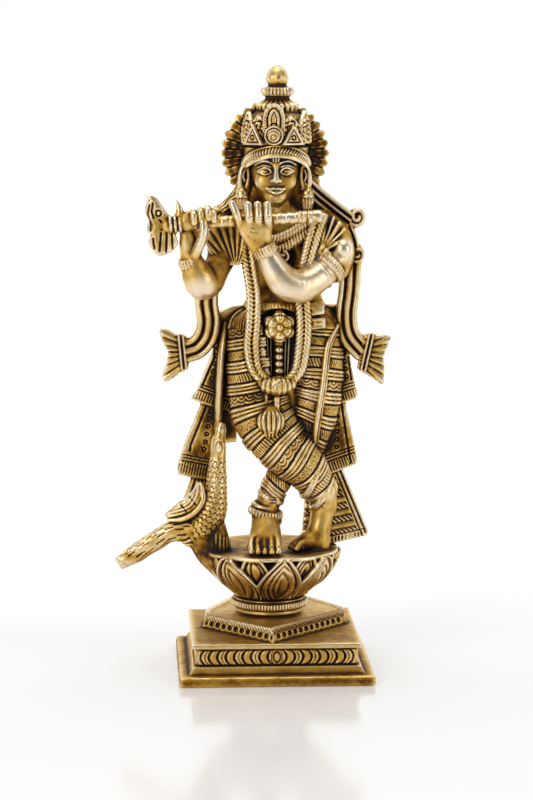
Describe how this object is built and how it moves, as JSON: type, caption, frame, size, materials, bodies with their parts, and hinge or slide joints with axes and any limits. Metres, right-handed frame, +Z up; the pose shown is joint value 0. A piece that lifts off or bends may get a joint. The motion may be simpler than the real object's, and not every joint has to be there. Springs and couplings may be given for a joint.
{
  "type": "krishna figure",
  "caption": "Cast brass flute player in a tall crown and halo, legs crossed beside a peacock on a lotus, fixed to a stepped plinth.",
  "frame": {"origin": "centre of the plinth's flat underside", "axes": "+Z up through the figure, -Y the way the figure faces, +X towards the figure's left hand side"},
  "size_m": [0.0955, 0.0664, 0.2081],
  "materials": {
    "plinth_brass": "polished cast brass with dark brown patina left in the grooves and punched rings",
    "figure_brass": "polished cast brass, brightest on the arms, with near black patina left in all the carving"
  },
  "bodies": {
    "root": {"plinth": "plinth_brass", "flute_player_on_lotus": "figure_brass"}
  },
  "joints": []
}
